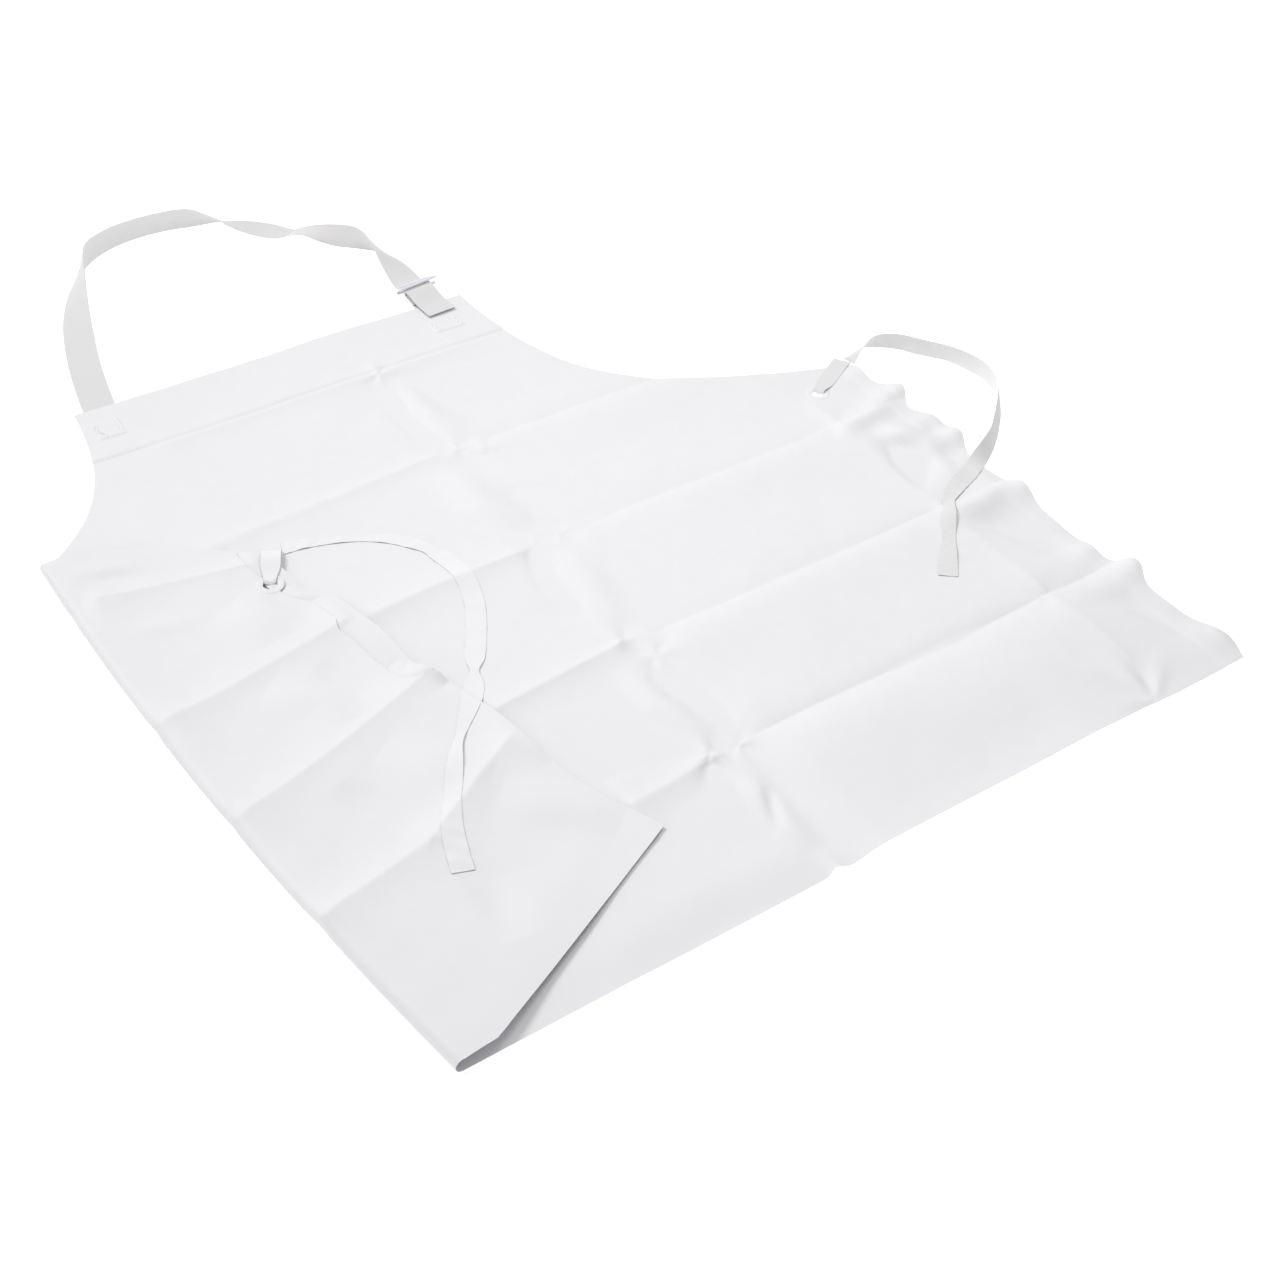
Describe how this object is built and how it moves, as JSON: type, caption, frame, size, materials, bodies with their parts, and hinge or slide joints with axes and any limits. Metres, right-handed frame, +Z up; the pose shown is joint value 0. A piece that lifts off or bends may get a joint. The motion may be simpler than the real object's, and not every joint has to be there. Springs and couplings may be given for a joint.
{
  "type": "butcher apron",
  "caption": "Waterproof butcher's apron lying flat: coated cloth with bib and turned-over side, webbing neck strap with slide buckle, and tape waist ties.",
  "frame": {"origin": "on the table, under the middle of the whole object's box with the waist ties left out", "axes": "+Z up; +Y from the skirt's hem to the bib and neck loop; +X across the apron, towards the side that lies open"},
  "size_m": [1.1299, 1.4501, 0.0405],
  "materials": {
    "coated_cloth": "white coated woven cloth, low satin sheen",
    "strap_webbing": "white woven webbing, dull",
    "tie_tape": "white woven tape, dull",
    "welded_patch": "white heat-welded patch, satin",
    "buckle_plastic": "white moulded plastic, soft gloss",
    "buckle_rod": "white moulded plastic rod, glossy"
  },
  "bodies": {
    "apron": {"front_panel": "coated_cloth", "fold_roll": "coated_cloth", "bib_hem": "coated_cloth", "side_tape_right": "coated_cloth", "neck_strap": "strap_webbing", "anchor_strap": "strap_webbing", "strap_weld_left": "welded_patch", "strap_weld_right": "welded_patch", "eyelet_ring_right": "welded_patch", "tie_loop_right": "tie_tape", "waist_tie_right": "tie_tape"},
    "turned_side": {"flap_panel": "coated_cloth", "side_tape_left": "coated_cloth", "eyelet_ring_left": "welded_patch", "tie_loop_left": "tie_tape", "waist_tie_left": "tie_tape"},
    "buckle": {"buckle_frame": "buckle_plastic", "buckle_rod": "buckle_rod"}
  },
  "joints": [
    {"name": "side_fold", "type": "hinge", "parent": "apron", "child": "turned_side", "pos_m": [-0.3966, -0.725, 0.0136], "axis": [0.1207, -0.9927, 0], "range_deg": [0, 150]},
    {"name": "buckle_tilt", "type": "hinge", "parent": "apron", "child": "buckle", "pos_m": [0.1074, 0.3705, 0.00675], "axis": [1, 0, 0], "range_deg": [-5, 8]}
  ]
}
